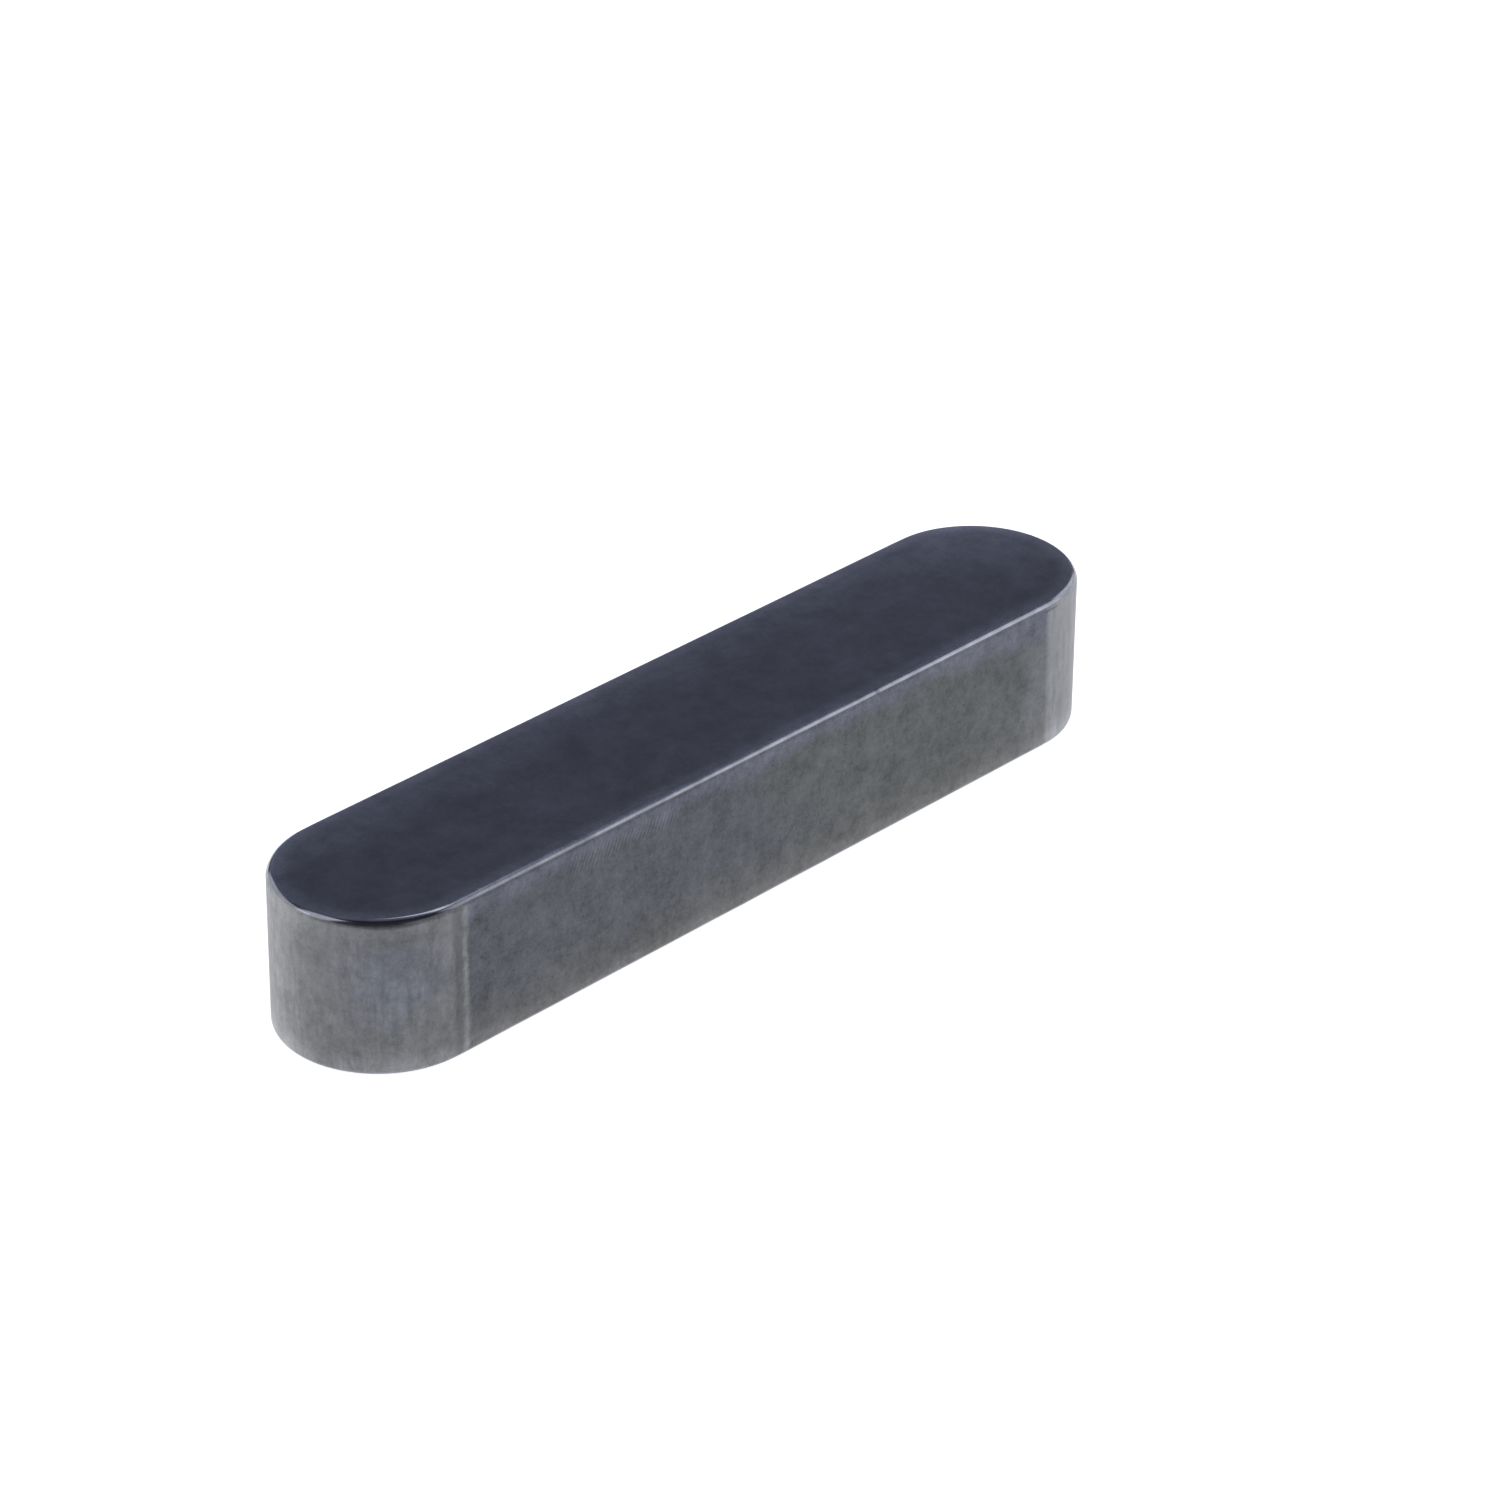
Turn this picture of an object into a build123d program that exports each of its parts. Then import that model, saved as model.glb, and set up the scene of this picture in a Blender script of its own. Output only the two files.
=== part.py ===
# Parallel key, form A: a bar of bright key steel with both ends milled to a full half round.
#
# It is one solid piece. X runs along the key, Y across it and Z up.
# The origin is the centre of the seat, the face that lies on the floor of the shaft's keyway.

import os

from build123d import *

# Driving sizes, in millimetres
key_width = 10.0  # across the two drive faces, which fit the walls of the keyway
key_height = 8.0  # from the seat to the top face
key_length = 50.0  # over both round ends
edge_radius = 0.4  # the broken edge around the seat and around the top face

with BuildPart() as key:
    # The outline of the keyway that the key fills: two drive faces, closed by half-round ends
    with BuildSketch(Plane.XY) as outline:
        SlotOverall(key_length, key_width)
    extrude(amount=key_height)

    # The same small rounding runs round the whole outline, at the seat and at the top
    seat_rim = key.faces().sort_by(Axis.Z)[0].outer_wire().edges()
    top_rim = key.faces().sort_by(Axis.Z)[-1].outer_wire().edges()
    fillet(seat_rim + top_rim, radius=edge_radius)

key.part.label = "parallel_key"

os.makedirs("parts", exist_ok=True)
export_step(key.part, "parts/parallel_key.step")
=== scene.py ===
# Parallel key: a bar of drawn key steel with two milled half-round ends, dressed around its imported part

from math import cos, pi, radians, sin

import bmesh
import bpy
from mathutils import Matrix, Vector


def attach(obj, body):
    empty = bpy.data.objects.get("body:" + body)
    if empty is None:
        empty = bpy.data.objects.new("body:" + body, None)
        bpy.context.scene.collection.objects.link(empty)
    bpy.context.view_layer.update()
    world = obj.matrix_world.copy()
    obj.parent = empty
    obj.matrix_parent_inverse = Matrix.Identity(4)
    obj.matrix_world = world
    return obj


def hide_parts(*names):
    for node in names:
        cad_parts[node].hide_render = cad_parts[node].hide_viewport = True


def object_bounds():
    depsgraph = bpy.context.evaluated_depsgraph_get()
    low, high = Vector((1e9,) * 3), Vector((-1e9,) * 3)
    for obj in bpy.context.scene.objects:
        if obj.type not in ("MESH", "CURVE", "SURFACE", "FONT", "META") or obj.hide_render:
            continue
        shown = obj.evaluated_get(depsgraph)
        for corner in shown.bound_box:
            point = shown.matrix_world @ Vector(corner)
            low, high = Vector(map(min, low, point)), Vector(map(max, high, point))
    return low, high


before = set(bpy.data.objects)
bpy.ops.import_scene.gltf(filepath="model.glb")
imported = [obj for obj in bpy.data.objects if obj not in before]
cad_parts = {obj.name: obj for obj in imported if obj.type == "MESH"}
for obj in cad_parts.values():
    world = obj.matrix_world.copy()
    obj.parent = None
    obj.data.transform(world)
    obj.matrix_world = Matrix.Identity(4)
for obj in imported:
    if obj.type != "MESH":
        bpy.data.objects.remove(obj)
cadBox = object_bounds()
mm = 0.001
keyMiddle = (cadBox[0] + cadBox[1]) / 2
seat, top = cadBox[0].z, cadBox[1].z
endRadius = (cadBox[1].y - cadBox[0].y) / 2
endCentre = cadBox[1].x - keyMiddle.x - endRadius  # from the key's middle to the axis of each round end

print("frame loaded:", sorted(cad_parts))


# camera, first, so that every look is judged from the right place

shot = {
    "azimuth": -46.88,  # degrees round the key, where 0 looks along +Y
    "elevation": 29.13,  # degrees above the floor
    "roll": 0.59,
    "distance": 260.64 * mm,  # from the middle of the key
    "aside": 2.763 * mm,  # how far to the right of the key's middle the camera stands
    "above": 1.599 * mm,  # and how far above it
    "lens": 133.26,
    "nearest": 0.01,  # metres, as is the next
    "farthest": 20,
}


def lookFrom(azimuth, elevation):
    # the direction from the key to something that stands at these angles
    turn, lift = radians(azimuth), radians(elevation)
    return Vector((sin(turn) * cos(lift), -cos(turn) * cos(lift), sin(lift)))


def addCamera():
    back = lookFrom(shot["azimuth"], shot["elevation"])
    tip = radians(shot["roll"])
    level = Vector((0, 0, 1)).cross(back).normalized()
    upright = back.cross(level)
    right = cos(tip) * level + sin(tip) * upright
    up = back.cross(right)
    bpy.ops.object.camera_add()
    camera = bpy.context.object
    camera.name = "keyCamera"
    camera.data.lens = shot["lens"]
    camera.data.clip_start = shot["nearest"]
    camera.data.clip_end = shot["farthest"]
    spot = keyMiddle + back * shot["distance"] + right * shot["aside"] + up * shot["above"]
    camera.matrix_world = Matrix.Translation(spot) @ Matrix((right, up, back)).transposed().to_4x4()
    bpy.context.scene.camera = camera


addCamera()
print("camera placed")


# the key's body

keyShape = {
    "edgeRadius": 0.4 * mm,  # the broken edge round the seat and round the top
    "edgeSegments": 10,
    "endSteps": 96,  # faces round each half-round end
    "seamInboard": 0.5 * mm,  # how far the end mill ran on past the half round, onto the drive faces
    "seamStep": 0.012 * mm,  # how deep it cut there
    "seamWidth": 0.04 * mm,
    "support": 0.03 * mm,  # the narrow face beside each rounding that keeps the flats flat
    "sectionLength": 0.5 * mm,  # between the cuts along the bar
    "wallRows": 8,  # rows of faces up the walls
    "edgeWobble": 0.02 * mm,  # how uneven the deburring left the broken edges
    "wobbleSize": 2.5 * mm,
    "wobbleStart": 0.02 * mm,  # how far inside a broken edge the unevenness starts
    "near": 0.01 * mm,  # an edge this close to a place lies at that place
    "merge": 0.001 * mm,
}


def pick(kind, test):
    # selects the vertices, edges or faces that pass a test, and nothing else
    bpy.ops.mesh.select_mode(type=kind)
    bpy.ops.mesh.select_all(action="DESELECT")
    mesh = bmesh.from_edit_mesh(bpy.context.object.data)
    parts = {"VERT": mesh.verts, "EDGE": mesh.edges, "FACE": mesh.faces}[kind]
    for part in parts:
        if test(part):
            part.select_set(True)
    mesh.select_flush_mode()
    bmesh.update_edit_mesh(bpy.context.object.data)


def cutAcross(place, normal):
    bpy.ops.mesh.select_all(action="SELECT")
    bpy.ops.mesh.bisect(plane_co=place, plane_no=normal)


def middleOf(edge):
    return (edge.verts[0].co + edge.verts[1].co) / 2


def isUpright(edge):
    return abs(edge.verts[0].co.z - edge.verts[1].co.z) > keyShape["near"]


def spinWalls():
    # keeps the two drive faces of the bar, and spins a half-round wall from one to the other at each end
    pick("FACE", lambda face: abs(face.normal.y) < 0.5)
    bpy.ops.mesh.delete(type="ONLY_FACE")
    pick("EDGE", lambda edge: not edge.link_faces)
    bpy.ops.mesh.delete(type="EDGE")
    for side in (1, -1):
        corner = Vector((side * endCentre, -side * endRadius, (seat + top) / 2))
        pick("EDGE", lambda edge: (middleOf(edge) - corner).length < keyShape["near"])
        bpy.ops.mesh.spin(
            steps=keyShape["endSteps"], angle=-pi, center=(side * endCentre, 0, 0), axis=(0, 0, 1)
        )
    bpy.ops.mesh.select_all(action="SELECT")
    bpy.ops.mesh.remove_doubles(threshold=keyShape["merge"])


def closeAndBreakEdges():
    # a flat face over each opening, then the small rounding round both rims
    for level in (seat, top):
        pick("EDGE", lambda edge: abs(middleOf(edge).z - level) < keyShape["near"])
        bpy.ops.mesh.edge_face_add()
    bpy.ops.mesh.select_all(action="SELECT")
    bpy.ops.mesh.normals_make_consistent(inside=False)
    pick("EDGE", lambda edge: not isUpright(edge))
    bpy.ops.mesh.bevel(
        offset=keyShape["edgeRadius"], segments=keyShape["edgeSegments"], profile=0.5, clamp_overlap=False
    )
    # narrow faces beside the roundings, on the flats and on the walls
    pick("FACE", lambda face: abs(face.normal.z) > 0.999)
    bpy.ops.mesh.inset(thickness=keyShape["support"])
    rim = keyShape["edgeRadius"] + keyShape["support"]
    for level in (seat + rim, top - rim):
        cutAcross((0, 0, level), (0, 0, 1))


def cutIntoSections():
    # even rows up the walls, and even sections along the straight of the bar
    rows = keyShape["wallRows"]
    rim = keyShape["edgeRadius"] + keyShape["support"]
    for row in range(1, rows):
        level = seat + rim + (top - seat - 2 * rim) * row / rows
        cutAcross((0, 0, level), (0, 0, 1))
    sections = round(2 * endCentre / keyShape["sectionLength"])
    for section in range(sections + 1):
        cutAcross((-endCentre + 2 * endCentre * section / sections, 0, 0), (1, 0, 0))


def millEnds():
    # the end mill leaves a fine step where it runs out on each drive face
    seam = endCentre - keyShape["seamInboard"]
    for side in (1, -1):
        for place in (seam, seam + keyShape["seamWidth"]):
            cutAcross((side * place, 0, 0), (1, 0, 0))
    pick("VERT", lambda vert: abs(vert.co.x) > seam + keyShape["seamWidth"] / 2)
    shrink = 1 - keyShape["seamStep"] / endRadius
    bpy.ops.transform.resize(value=(1, shrink, 1), center_override=(0, 0, 0))


def unevenEdges(key):
    # deburring takes a little more off in some places than in others
    rim = keyShape["edgeRadius"]
    broken = key.vertex_groups.new(name="brokenEdge")
    inside = keyShape["wobbleStart"]
    for vert in key.data.vertices:
        down = min(vert.co.z - seat, top - vert.co.z)
        if inside < down < rim - inside:
            broken.add([vert.index], sin(pi * down / rim), "REPLACE")
    deburring = bpy.data.textures.new("deburring", "CLOUDS")
    deburring.noise_scale = keyShape["wobbleSize"]
    bpy.ops.object.modifier_add(type="DISPLACE")
    wobble = key.modifiers[-1]
    wobble.texture = deburring
    wobble.texture_coords = "LOCAL"
    wobble.vertex_group = broken.name
    wobble.mid_level = 1.0  # inwards only
    wobble.strength = keyShape["edgeWobble"]
    bpy.ops.object.modifier_apply(modifier=wobble.name)


def buildKeyBody():
    bpy.ops.object.select_all(action="DESELECT")
    bpy.ops.mesh.primitive_cube_add(
        size=1, location=(0, 0, (seat + top) / 2), scale=(2 * endCentre, 2 * endRadius, top - seat)
    )
    key = bpy.context.object
    key.name = "keyBody"
    bpy.ops.object.transform_apply(location=True, rotation=True, scale=True)
    bpy.ops.object.mode_set(mode="EDIT")
    spinWalls()
    closeAndBreakEdges()
    cutIntoSections()
    millEnds()
    bpy.ops.object.mode_set(mode="OBJECT")
    unevenEdges(key)
    bpy.ops.object.shade_smooth()
    bpy.ops.object.modifier_add(type="WEIGHTED_NORMAL")
    bpy.ops.object.modifier_apply(modifier=key.modifiers[-1].name)
    return key


keyBody = buildKeyBody()
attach(keyBody, "root")
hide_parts("parallel_key")
print("key body built:", len(keyBody.data.polygons), "faces")
print("its size in mm:", [round(side / mm, 3) for side in keyBody.dimensions])


# the key's steel, laid out in millimetres from the key's own origin
# a pair says where a change starts and where it ends, in mm where no note says otherwise

steelFinish = {
    "drawn": {  # the oiled skin of the drive faces
        "blued": (0.080, 0.086, 0.098),  # where the oil film looks blue
        "greyed": (0.085, 0.093, 0.096),  # and where it is a little greener
        "greyPerMm": 0.022,  # more of the second toward the right end
        "greyFade": (0.40, 0.62),  # between these values of the drift noise
        "roughness": 0.30,
        "grain": 2.3,  # how much lighter and darker the grain turns it
        "edgeLift": 0.1,  # how much lighter it is beside the edges
        "shade": 0.07,  # how much darker it is toward the top edge
        "shadeHeight": (3.5, 6.6),
    },
    "top": {
        "colour": (0.109, 0.111, 0.127),
        "roughness": 0.22,
        "grain": 1.5,
        "edgeLift": 0.5,
        "drift": 0.5,  # how much its tone changes from place to place
        "backReflection": 0.36,  # painted reflection: how much lighter it is toward its back edge
        "backPlace": (1.0, 4.2),
        "cornerReflection": 1.0,  # painted reflection too, toward its right end
        "cornerAlong": (17.0, 24.5),
        "cornerAcross": (-4.0, 4.0),
    },
    "band": {  # painted reflection: lilac, just under the top edge
        "colour": (0.100, 0.104, 0.130),
        "depth": (0.6, 1.4),
        "ragged": 1.6,  # how far noise moves its border, in mm, as it does for foot and stain
        "widenAlong": (12.0, 19.0),
        "widenBy": 0.9,
    },
    "foot": {  # painted reflection of the bright floor: lighter and greyer low on the walls
        "colour": (0.108, 0.109, 0.112),
        "height": (0.4, 3.4),
        "strength": 0.9,
        "ragged": -3.0,
        # painted reflection of the floor, lighter still along the seat edge
        "edgeLift": 0.3,
        "edgeLiftHeight": (1.0, 2.0),
    },
    "milled": {  # the half-round ends
        "colour": (0.150, 0.154, 0.163),
        "roughness": 0.48,
        "metal": 0.85,  # where 1 is bare steel
        "grain": 1.9,
        "leftSeam": (0.0, 0.12),  # past the run-out line, which is sharp on the left end
        "rightSeam": (-0.1, 0.55),  # and soft on the right
        "feather": 0.28,  # a faint milled haze before the right line
        "featherAlong": (-2.2, -0.3),
        "featherHeight": (6.8, 5.2),
        "footLight": 0.1,  # how much lighter the ends are toward the seat
        "footHeight": (0.9, 2.2),
    },
    "litRightEnd": {  # painted light: the right end, lighter where it faces the lamps, and with weaker grain
        "colour": (0.224, 0.230, 0.246),
        "grain": 1.0,
        "along": (-1.0, 1.0),
    },
    "nose": {  # painted light round the tip of the left end, strongest on the back of it, which faces the left lamps
        "colour": (0.255, 0.258, 0.265),
        "direction": (-0.82, 0.57, 0.0),
        "reach": (19.3, 21.5),
    },
    "stain": {  # bluish oil on the left end
        "colour": (0.134, 0.142, 0.164),
        "place": (-23.0, -4.0, 4.9),
        "reach": (1.2, 3.0),
        "ragged": 3.0,
    },
    "runOut": {  # painted shade: the darker stripe beside the run-out line
        "colour": (0.104, 0.108, 0.116),
        "pastSeam": (0.9, 0.5),
    },
    "runOutLineGlint": {  # the run-out line itself, a real mark, painted lighter as a painted highlight
        "colour": (0.172, 0.175, 0.184),
        "halfWidth": (0.02, 0.32),
        "wander": 0.5,
        "patchFade": (0.36, 0.6),  # between these values of its noise
        "faintest": 0.45,
    },
    "broken": {  # bare metal on the deburred edges
        "colour": (0.192, 0.199, 0.236),
        "roughness": 0.16,
        "grain": 0.6,
        "wear": 0.9,  # how unevenly it shines
        "wallStart": (0.1, 0.6),  # shares of the edge radius, as are the next two
        "down": (0.42, 0.74),
        "inward": (0.75, 1.0),
        "edgeLiftWidth": 0.8,  # mm in from every edge where the steel is lighter
    },
    "streaks": {  # left by the end mill, up and down the half-round ends
        "depth": 1.05,  # how much lighter and darker they turn the steel
        "patches": (0.35, 1.25),  # faint in some patches and clear in others
        "patchFade": (0.4, 0.6),
    },
    "specks": {  # small dark pits
        "depth": 0.2,
        "fade": (0.65, 0.73),
        "elsewhere": 0.5,  # the share of their depth off the drawn skin
    },
    "chatter": {  # hatch marks from the drawing die, high on the near drive face
        "place": (-9.5, 6.9),  # along and up
        "size": (5.5, 0.6),
        "edge": (0.4, 0.5),  # the share of the size that has them in full
        "depth": 0.3,
        "slant": -25,  # degrees
        "scale": 1.4,
        "distortion": 1.5,
        "nearSide": (0.0, -1.0),
    },
    "bruisesAndDarkReflection": [  # knocks and scuffs, and one painted dark reflection: place, half size, and how much of the colour is left
        ((7.5, -4.9, 7.9), (0.18, 0.22, 0.18), 0.62),
        ((19.9, -5.0, 7.63), (0.7, 0.4, 0.06), 0.6),
        # painted reflection: deepens the dark reflection on the rounding at the front of the left end
        ((-23.0, -4.0, 7.67), (1.6, 1.4, 0.11), 0.68),
    ],
    "bruiseAndReflectionFade": (0.5, 1.1),  # in half sizes
    "roughnessGrain": 0.5,  # how unevenly the grain dulls the steel
    "relief": 0.0012,  # mm, the height of the grain and the streaks
    "clouds": {  # stretch along the axes, scale per mm, detail, roughness, shift
        "grain": ((1, 1, 1), 0.55, 6.0, 0.92, (1.7, 2.3, 0.9)),
        "drift": ((0.06, 0.25, 0.25), 1.0, 3.0, 0.6, (3.1, 0.0, 0.7)),
        "ragged": ((0.5, 0.5, 0.5), 1.0, 4.0, 0.7, (0.0, 5.0, 0.0)),
        "runOutLineGlint": ((1, 1, 1), 0.9, 3.0, 0.7, (4.0, 0.0, 2.0)),
        "streaks": ((1, 1, 0.2), 2.2, 4.0, 0.7, (0.0, 0.0, 0.0)),
        "streakPatches": ((1, 1, 0.6), 0.5, 2.0, 0.5, (2.0, 9.0, 0.0)),
        "topDrift": ((1, 1, 1), 0.2, 2.0, 0.5, (7.0, 1.0, 0.0)),
        "edgeWear": ((1, 1, 1), 1.1, 3.0, 0.6, (0.0, 0.0, 6.0)),
        "specks": ((1, 1, 1), 2.6, 2.0, 0.6, (8.0, 3.0, 5.0)),
    },
}


def addNode(tree, kind, inputs=None, **settings):
    # one shader node; an input is either a value or another node's output
    made = tree.nodes.new(kind)
    for name, value in settings.items():
        setattr(made, name, value)
    for socket, value in (inputs or {}).items():
        if isinstance(value, bpy.types.NodeSocket):
            tree.links.new(value, made.inputs[socket])
        elif value is not None:
            made.inputs[socket].default_value = value
    return made


def calc(tree, operation, first, second=None):
    return addNode(tree, "ShaderNodeMath", {0: first, 1: second}, operation=operation).outputs[0]


def plus(tree, first, second):
    return calc(tree, "ADD", first, second)


def minus(tree, first, second):
    return calc(tree, "SUBTRACT", first, second)


def times(tree, first, *others):
    for other in others:
        first = calc(tree, "MULTIPLY", first, other)
    return first


def vectorCalc(tree, operation, first, second=None):
    slot = "Scale" if operation == "SCALE" else 1
    made = addNode(tree, "ShaderNodeVectorMath", {0: first, slot: second}, operation=operation)
    isNumber = operation in ("LENGTH", "DISTANCE", "DOT_PRODUCT")
    return made.outputs["Value" if isNumber else "Vector"]


def fade(tree, value, ends, low=0.0, high=1.0):
    # a smooth change from low to high while the value goes from the first end to the second
    inputs = {"Value": value, "From Min": ends[0], "From Max": ends[1], "To Min": low, "To Max": high}
    return addNode(tree, "ShaderNodeMapRange", inputs, interpolation_type="SMOOTHSTEP").outputs["Result"]


def rgba(colour):
    return (*colour, 1) if isinstance(colour, tuple) else colour


def blend(tree, amount, under, over):
    inputs = {0: amount, 6: rgba(under), 7: rgba(over)}
    return addNode(tree, "ShaderNodeMix", inputs, data_type="RGBA").outputs[2]


def mixValue(tree, amount, under, over):
    return addNode(tree, "ShaderNodeMix", {0: amount, 2: under, 3: over}).outputs[0]


def cloud(tree, place, name):
    # fractal noise, from about 0 to 1
    stretch, scale, detail, roughness, shift = steelFinish["clouds"][name]
    inputs = {"Vector": place, "Location": shift, "Scale": stretch}
    spot = addNode(tree, "ShaderNodeMapping", inputs).outputs[0]
    inputs = {"Vector": spot, "Scale": scale, "Detail": detail, "Roughness": roughness}
    return addNode(tree, "ShaderNodeTexNoise", inputs).outputs["Fac"]


def centred(tree, noise):
    return minus(tree, noise, 0.5)


def lighter(tree, amount):
    return plus(tree, amount, 1.0)


def darker(tree, amount):
    return minus(tree, 1.0, amount)


def aroundOne(tree, noise, amount):
    # turns noise about 0.5 into a brightness factor about 1
    return lighter(tree, times(tree, centred(tree, noise), amount))


def findZones(tree):
    # where on the key a point lies, each as a share from 0 to 1 or as a distance in mm
    coords = addNode(tree, "ShaderNodeTexCoord").outputs["Object"]
    place = vectorCalc(tree, "SCALE", coords, 1 / mm)
    axes = addNode(tree, "ShaderNodeSeparateXYZ", {0: place}).outputs
    x, y, z = axes["X"], axes["Y"], axes["Z"]
    along = calc(tree, "ABSOLUTE", x)
    pastCentre = calc(tree, "MAXIMUM", minus(tree, along, endCentre / mm), 0.0)
    squares = plus(tree, calc(tree, "POWER", pastCentre, 2.0), calc(tree, "POWER", y, 2.0))
    inward = minus(tree, endRadius / mm, calc(tree, "SQRT", squares))
    fromTop = minus(tree, top / mm, z)
    fromSeat = minus(tree, z, seat / mm)
    fromFlat = calc(tree, "MINIMUM", fromTop, fromSeat)
    fromCorner = calc(tree, "MAXIMUM", inward, fromFlat)

    # the walls, and the bare metal on the rounding between them and the flats
    edge = steelFinish["broken"]
    rim = keyShape["edgeRadius"] / mm
    wall = fade(tree, inward, [share * rim for share in edge["wallStart"]], 1.0, 0.0)
    brokenDown = fade(tree, fromFlat, [share * rim for share in edge["down"]], 1.0, 0.0)
    brokenInward = fade(tree, inward, [share * rim for share in edge["inward"]], 1.0, 0.0)
    broken = times(tree, brokenDown, brokenInward)
    besideEdge = fade(tree, fromCorner, (rim, rim + edge["edgeLiftWidth"]), 1.0, 0.0)

    # the milled ends, which start at the run-out lines
    ends = steelFinish["milled"]
    seam = (endCentre - keyShape["seamInboard"]) / mm
    pastLeft = fade(tree, x, [-seam - past for past in ends["leftSeam"]])
    pastRight = fade(tree, x, [seam + past for past in ends["rightSeam"]])
    feather = fade(tree, x, [seam + past for past in ends["featherAlong"]], 0.0, ends["feather"])
    feather = times(tree, feather, fade(tree, z, ends["featherHeight"]))
    pastRight = calc(tree, "MAXIMUM", pastRight, feather)
    milled = times(tree, wall, calc(tree, "MAXIMUM", pastLeft, pastRight))

    # the run-out line that wanders along the left one, painted lighter as a painted highlight
    line = steelFinish["runOutLineGlint"]
    patchy = cloud(tree, place, "runOutLineGlint")
    wander = times(tree, centred(tree, patchy), line["wander"])
    fromLine = calc(tree, "ABSOLUTE", plus(tree, plus(tree, x, seam), wander))
    onLine = fade(tree, fromLine, line["halfWidth"], 1.0, 0.0)
    onLine = times(tree, onLine, fade(tree, patchy, line["patchFade"], line["faintest"], 1.0), wall)
    return {
        "place": place,
        "x": x,
        "y": y,
        "z": z,
        "fromTop": fromTop,
        "fromSeat": fromSeat,
        "pastSeam": minus(tree, along, seam),
        "wall": wall,
        "milled": milled,
        "drawn": minus(tree, wall, milled),
        "broken": broken,
        "besideEdge": minus(tree, besideEdge, broken),
        "runOutLineGlint": onLine,
    }


def colourSkin(tree, zone, raggedness):
    # the oiled skin: blue to grey along the bar, with a painted lilac reflection under the top edge and a
    # painted floor reflection low on the walls
    drawn = steelFinish["drawn"]
    greyed = plus(tree, cloud(tree, zone["place"], "drift"), times(tree, zone["x"], drawn["greyPerMm"]))
    skin = blend(tree, fade(tree, greyed, drawn["greyFade"]), drawn["blued"], drawn["greyed"])
    band = steelFinish["band"]
    bandDepth = plus(tree, zone["fromTop"], times(tree, raggedness, band["ragged"]))
    bandDepth = minus(tree, bandDepth, fade(tree, zone["x"], band["widenAlong"], 0.0, band["widenBy"]))
    skin = blend(tree, fade(tree, bandDepth, band["depth"], 1.0, 0.0), skin, band["colour"])
    foot = steelFinish["foot"]
    footHeight = plus(tree, zone["fromSeat"], times(tree, raggedness, foot["ragged"]))
    onFoot = fade(tree, footHeight, foot["height"], foot["strength"], 0.0)
    skin = blend(tree, onFoot, skin, foot["colour"])
    return blend(tree, zone["wall"], steelFinish["top"]["colour"], skin)


def colourMilled(tree, zone, raggedness):
    # the half-round ends: painted light round the tip of the left end and over the right end, and a
    # bluish oil stain on the left
    nose = steelFinish["nose"]
    towardNose = vectorCalc(tree, "DOT_PRODUCT", zone["place"], nose["direction"])
    onNose = fade(tree, towardNose, nose["reach"])
    milled = blend(tree, onNose, steelFinish["milled"]["colour"], nose["colour"])
    stain = steelFinish["stain"]
    fromStain = vectorCalc(tree, "DISTANCE", zone["place"], stain["place"])
    fromStain = plus(tree, fromStain, times(tree, raggedness, stain["ragged"]))
    milled = blend(tree, fade(tree, fromStain, stain["reach"], 1.0, 0.0), milled, stain["colour"])
    runOut = steelFinish["runOut"]
    milled = blend(tree, fade(tree, zone["pastSeam"], runOut["pastSeam"]), milled, runOut["colour"])
    litRightEnd = steelFinish["litRightEnd"]
    return blend(tree, fade(tree, zone["x"], litRightEnd["along"]), milled, litRightEnd["colour"])


def findGrain(tree, zone, grain, streaks):
    # grain over everything, and the end mill's streaks on the half-round ends
    look = steelFinish
    strength = mixValue(tree, zone["wall"], look["top"]["grain"], look["drawn"]["grain"])
    litRightEnd = look["litRightEnd"]
    milledGrain = fade(tree, zone["x"], litRightEnd["along"], look["milled"]["grain"], litRightEnd["grain"])
    strength = mixValue(tree, zone["milled"], strength, milledGrain)
    strength = mixValue(tree, zone["broken"], strength, look["broken"]["grain"])
    marks = look["streaks"]
    patches = cloud(tree, zone["place"], "streakPatches")
    patches = fade(tree, patches, marks["patchFade"], *marks["patches"])
    streakDepth = times(tree, zone["milled"], marks["depth"], patches)
    return times(tree, aroundOne(tree, grain, strength), aroundOne(tree, streaks, streakDepth))


def findEdgeLift(tree, zone):
    # lighter beside every edge, most of all on the top; along the seat this is painted reflection of the
    # floor
    foot = steelFinish["foot"]
    onFoot = fade(tree, zone["fromSeat"], foot["edgeLiftHeight"])
    edgeLifting = mixValue(tree, onFoot, foot["edgeLift"], steelFinish["drawn"]["edgeLift"])
    edgeLifting = mixValue(tree, zone["wall"], steelFinish["top"]["edgeLift"], edgeLifting)
    return lighter(tree, times(tree, zone["besideEdge"], edgeLifting))


def findTopReflectionAndDrift(tree, zone):
    # painted reflection: the top is lighter toward its back edge and its right end; its tone also drifts
    # at random
    look = steelFinish["top"]
    backReflection = times(tree, fade(tree, zone["y"], look["backPlace"]), look["backReflection"])
    cornerReflection = times(
        tree,
        fade(tree, zone["x"], look["cornerAlong"]),
        fade(tree, zone["y"], look["cornerAcross"]),
        look["cornerReflection"],
    )
    drift = aroundOne(tree, cloud(tree, zone["place"], "topDrift"), look["drift"])
    topReflectionAndDrift = times(tree, lighter(tree, plus(tree, backReflection, cornerReflection)), drift)
    return mixValue(tree, zone["wall"], topReflectionAndDrift, 1.0)


def findEdgeWear(tree, zone):
    # the deburred edges shine unevenly
    amount = times(tree, zone["broken"], steelFinish["broken"]["wear"])
    return aroundOne(tree, cloud(tree, zone["place"], "edgeWear"), amount)


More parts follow.
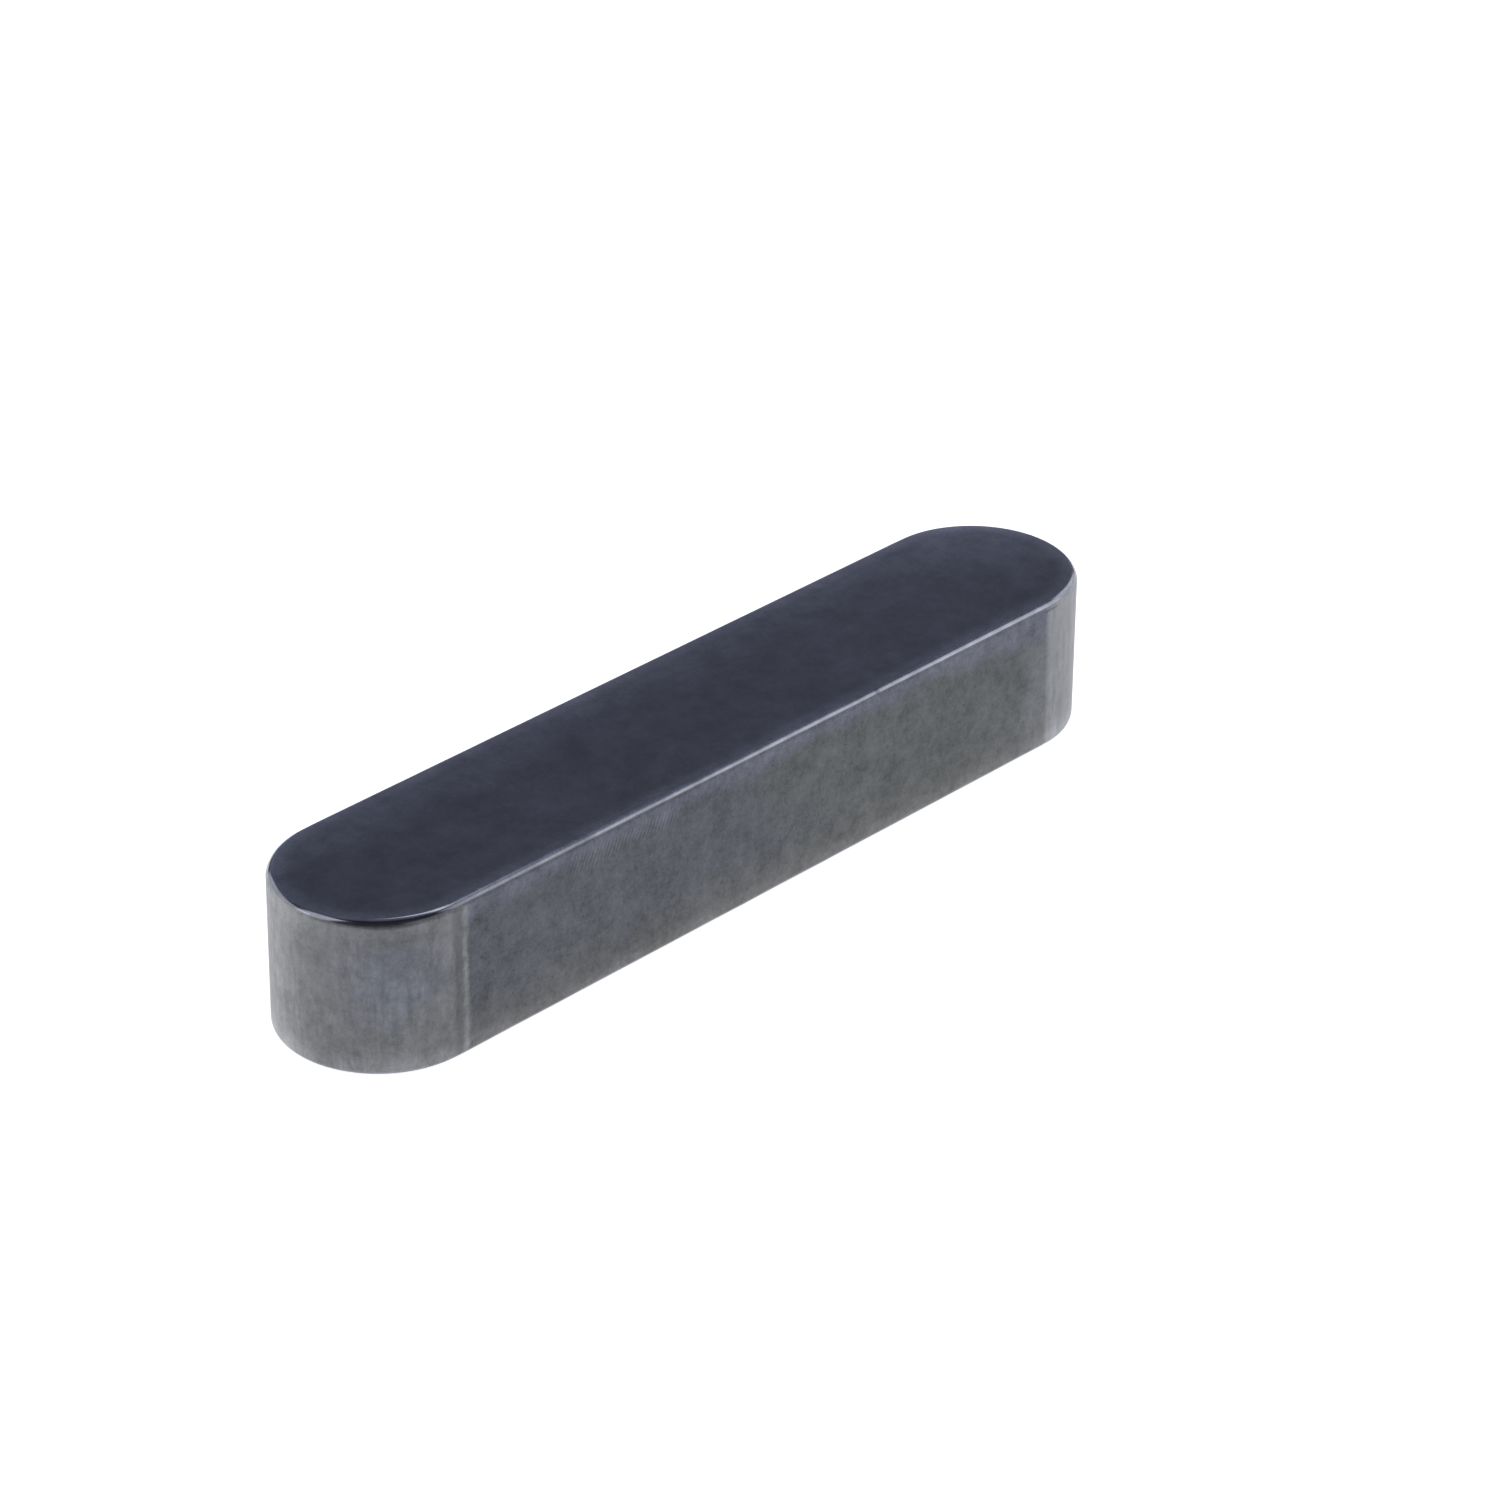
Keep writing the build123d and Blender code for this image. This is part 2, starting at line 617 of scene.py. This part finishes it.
def findBruisesAndDarkReflection(tree, zone):
    # a factor that darkens the steel at each knock, and at the painted dark reflection
    factor = 1.0
    for spot, size, left in steelFinish["bruisesAndDarkReflection"]:
        away = vectorCalc(tree, "SUBTRACT", zone["place"], spot)
        away = vectorCalc(tree, "LENGTH", vectorCalc(tree, "DIVIDE", away, size))
        factor = times(tree, fade(tree, away, steelFinish["bruiseAndReflectionFade"], left, 1.0), factor)
    return factor


def findChatter(tree, zone):
    # fine slanting hatch marks just under the top edge of the near drive face
    look = steelFinish["chatter"]
    inputs = {"Vector": zone["place"], "Rotation": (0, radians(look["slant"]), 0)}
    slanted = addNode(tree, "ShaderNodeMapping", inputs).outputs[0]
    inputs = {
        "Vector": slanted,
        "Scale": look["scale"],
        "Distortion": look["distortion"],
        "Detail": 2.0,
        "Detail Scale": 1.0,
    }
    wave = addNode(tree, "ShaderNodeTexWave", inputs, bands_direction="X").outputs["Fac"]
    marked = fade(tree, zone["y"], look["nearSide"])
    for axis, middle, reach, full in zip(("x", "z"), look["place"], look["size"], look["edge"]):
        away = calc(tree, "ABSOLUTE", minus(tree, zone[axis], middle))
        marked = times(tree, marked, fade(tree, away, (full * reach, reach), 1.0, 0.0))
    return aroundOne(tree, wave, times(tree, marked, look["depth"]))


def findSpecks(tree, zone):
    look = steelFinish["specks"]
    specks = fade(tree, cloud(tree, zone["place"], "specks"), look["fade"])
    depth = mixValue(tree, zone["drawn"], look["elsewhere"] * look["depth"], look["depth"])
    return darker(tree, times(tree, specks, depth))


def findShade(tree, zone):
    # the drawn skin darkens toward the top edge, and the milled ends lighten toward the seat
    drawn, milled = steelFinish["drawn"], steelFinish["milled"]
    shade = fade(tree, zone["z"], drawn["shadeHeight"], 0.0, drawn["shade"])
    shade = darker(tree, times(tree, shade, zone["drawn"]))
    light = fade(tree, zone["fromSeat"], milled["footHeight"], milled["footLight"], 0.0)
    light = lighter(tree, times(tree, light, zone["milled"]))
    return times(tree, shade, light)


def makeKeySteel():
    steel = bpy.data.materials.new("keySteel")
    steel.use_nodes = True
    tree = steel.node_tree
    shader = tree.nodes["Principled BSDF"]
    look = steelFinish
    zone = findZones(tree)
    grain = cloud(tree, zone["place"], "grain")
    streaks = cloud(tree, zone["place"], "streaks")
    raggedness = centred(tree, cloud(tree, zone["place"], "ragged"))

    skin = colourSkin(tree, zone, raggedness)
    skin = blend(tree, zone["milled"], skin, colourMilled(tree, zone, raggedness))
    skin = blend(tree, zone["runOutLineGlint"], skin, look["runOutLineGlint"]["colour"])
    skin = blend(tree, zone["broken"], skin, look["broken"]["colour"])
    depth = times(
        tree,
        findGrain(tree, zone, grain, streaks),
        findEdgeLift(tree, zone),
        findTopReflectionAndDrift(tree, zone),
        findEdgeWear(tree, zone),
        findBruisesAndDarkReflection(tree, zone),
        findChatter(tree, zone),
        findSpecks(tree, zone),
        findShade(tree, zone),
    )
    tree.links.new(vectorCalc(tree, "SCALE", skin, depth), shader.inputs["Base Color"])

    roughness = mixValue(tree, zone["wall"], look["top"]["roughness"], look["drawn"]["roughness"])
    roughness = mixValue(tree, zone["milled"], roughness, look["milled"]["roughness"])
    roughness = mixValue(tree, zone["broken"], roughness, look["broken"]["roughness"])
    roughness = times(tree, roughness, aroundOne(tree, grain, look["roughnessGrain"]))
    tree.links.new(roughness, shader.inputs["Roughness"])
    metal = mixValue(tree, zone["milled"], 1.0, look["milled"]["metal"])
    tree.links.new(metal, shader.inputs["Metallic"])

    relief = mixValue(tree, zone["milled"], grain, streaks)
    relief = mixValue(tree, zone["broken"], relief, 0.5)  # the broken edges stay smooth
    inputs = {"Height": relief, "Strength": 1.0, "Distance": look["relief"] * mm}
    bump = addNode(tree, "ShaderNodeBump", inputs)
    tree.links.new(bump.outputs["Normal"], shader.inputs["Normal"])
    return steel


keyBody.data.materials.append(makeKeySteel())
print("steel ready")


# floor and light: the key stands on a sheet of opal glass lit from below, among soft boxes and cards

studio = {
    "floorSize": 6,  # metres
    "floorColour": (0.8, 0.8, 0.8),
    "floorGlow": 0.88,
    "darkRoom": (0.035, 0.035, 0.041),
    "brightRoom": (0.285, 0.305, 0.395),
    "brightAzimuth": 132,  # the far side of the room and its ceiling are the brighter ones
    "brightElevation": 50,
    "roomFade": (0.58, 0.76),  # cosines of the angle to the middle of the bright side
    "boxDistance": 0.6,  # metres from the key's middle; the sizes are in metres too
    "boxes": [
        {"name": "edgeBox", "azimuth": 50.5, "elevation": 34.5, "size": (0.30, 0.35), "glow": 0.73},
        {"name": "edgeCard", "azimuth": 48, "elevation": 47, "size": (0.18, 0.15), "glow": 0.32},
        {"name": "lowCard", "azimuth": 41, "elevation": 6, "size": (0.24, 0.13), "glow": 0.35},
        {"name": "rightWing", "azimuth": 76, "elevation": 21, "size": (0.64, 0.47), "glow": 1.3},
        {"name": "highCard", "azimuth": 101, "elevation": 63, "size": (0.36, 0.13), "glow": 2.15},
        {"name": "frontCard", "azimuth": 18, "elevation": 17, "size": (0.76, 0.39), "glow": 0.47},
        {"name": "leftBox", "azimuth": 246, "elevation": 37, "size": (0.34, 0.49), "glow": 1.65},
        {"name": "leftWing", "azimuth": 206, "elevation": 15, "size": (0.78, 0.38), "glow": 1.21},
    ],
}


def addFloor():
    bpy.ops.mesh.primitive_plane_add(size=studio["floorSize"], location=(0, 0, seat))
    floor = bpy.context.object
    floor.name = "opalSheet"
    opal = bpy.data.materials.new("opalGlass")
    opal.use_nodes = True
    shader = opal.node_tree.nodes["Principled BSDF"]
    shader.inputs["Base Color"].default_value = rgba(studio["floorColour"])
    shader.inputs["Roughness"].default_value = 1
    shader.inputs["Specular IOR Level"].default_value = 0
    shader.inputs["Emission Color"].default_value = (1, 1, 1, 1)
    shader.inputs["Emission Strength"].default_value = studio["floorGlow"]
    floor.data.materials.append(opal)


def addSoftBox(box):
    direction = lookFrom(box["azimuth"], box["elevation"])
    bpy.ops.object.light_add(type="AREA", location=keyMiddle + direction * studio["boxDistance"])
    light = bpy.context.object
    light.name = box["name"]
    light.rotation_mode = "QUATERNION"
    light.rotation_quaternion = direction.to_track_quat("Z", "Y")
    light.data.shape = "RECTANGLE"
    wide, high = box["size"]
    light.data.size, light.data.size_y = wide, high
    light.data.energy = box["glow"] * pi * wide * high  # so a box of another size looks as bright


def addRoom():
    world = bpy.data.worlds.new("studioRoom")
    bpy.context.scene.world = world
    world.use_nodes = True
    tree = world.node_tree
    coords = addNode(tree, "ShaderNodeTexCoord").outputs["Generated"]
    bright = lookFrom(studio["brightAzimuth"], studio["brightElevation"])
    facing = fade(tree, vectorCalc(tree, "DOT_PRODUCT", coords, bright), studio["roomFade"])
    room = blend(tree, facing, studio["darkRoom"], studio["brightRoom"])
    tree.links.new(room, tree.nodes["Background"].inputs["Color"])


addFloor()
for box in studio["boxes"]:
    addSoftBox(box)
addRoom()
bpy.context.scene.view_settings.view_transform = "Standard"
print("studio lit")
